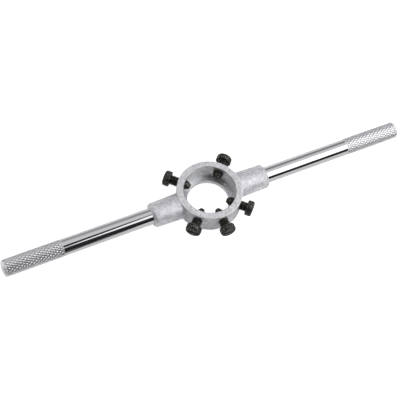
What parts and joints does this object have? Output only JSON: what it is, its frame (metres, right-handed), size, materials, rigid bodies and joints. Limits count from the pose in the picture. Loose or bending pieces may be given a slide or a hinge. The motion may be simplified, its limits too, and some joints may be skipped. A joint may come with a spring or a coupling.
{
  "type": "die stock",
  "caption": "Round die stock: a ring with a ledge and radial slotted cone-point screws that hold a split die, between two straight handles with knurled grips.",
  "frame": {"origin": "on the die's axis, in the ring's bottom face", "axes": "+X along the right handle, +Z along the die's axis, out of the seat's mouth"},
  "size_m": [0.3164, 0.063, 0.0174],
  "materials": {
    "cast_alloy": "cast, with the ring's faces turned",
    "bright_steel": "polished bar with knurled grips",
    "black_steel": "blackened"
  },
  "bodies": {
    "stock": {"die_holder": "cast_alloy", "left_handle": "bright_steel", "right_handle": "bright_steel"},
    "clamp_screw_right": {"clamp_screw_right": "black_steel"},
    "clamp_screw_left": {"clamp_screw_left": "black_steel"},
    "closing_screw_left": {"closing_screw_left": "black_steel"},
    "spreading_screw": {"spreading_screw": "black_steel"},
    "closing_screw_right": {"closing_screw_right": "black_steel"}
  },
  "joints": [
    {"name": "clamp_screw_right_feed", "type": "slide", "parent": "stock", "child": "clamp_screw_right", "axis": [0.7071, 0.7071, 0], "range_m": [-0.0047, 0.0057]},
    {"name": "clamp_screw_left_feed", "type": "slide", "parent": "stock", "child": "clamp_screw_left", "axis": [-0.7071, 0.7071, 0], "range_m": [-0.00605, 0.00435]},
    {"name": "closing_screw_left_feed", "type": "slide", "parent": "stock", "child": "closing_screw_left", "axis": [-0.7071, -0.7071, 0], "range_m": [-0.00545, 0.00495]},
    {"name": "spreading_screw_feed", "type": "slide", "parent": "stock", "child": "spreading_screw", "axis": [0, -1, 0], "range_m": [-0.0053, 0.0051]},
    {"name": "closing_screw_right_feed", "type": "slide", "parent": "stock", "child": "closing_screw_right", "axis": [0.7071, -0.7071, 0], "range_m": [-0.0046, 0.0058]}
  ]
}
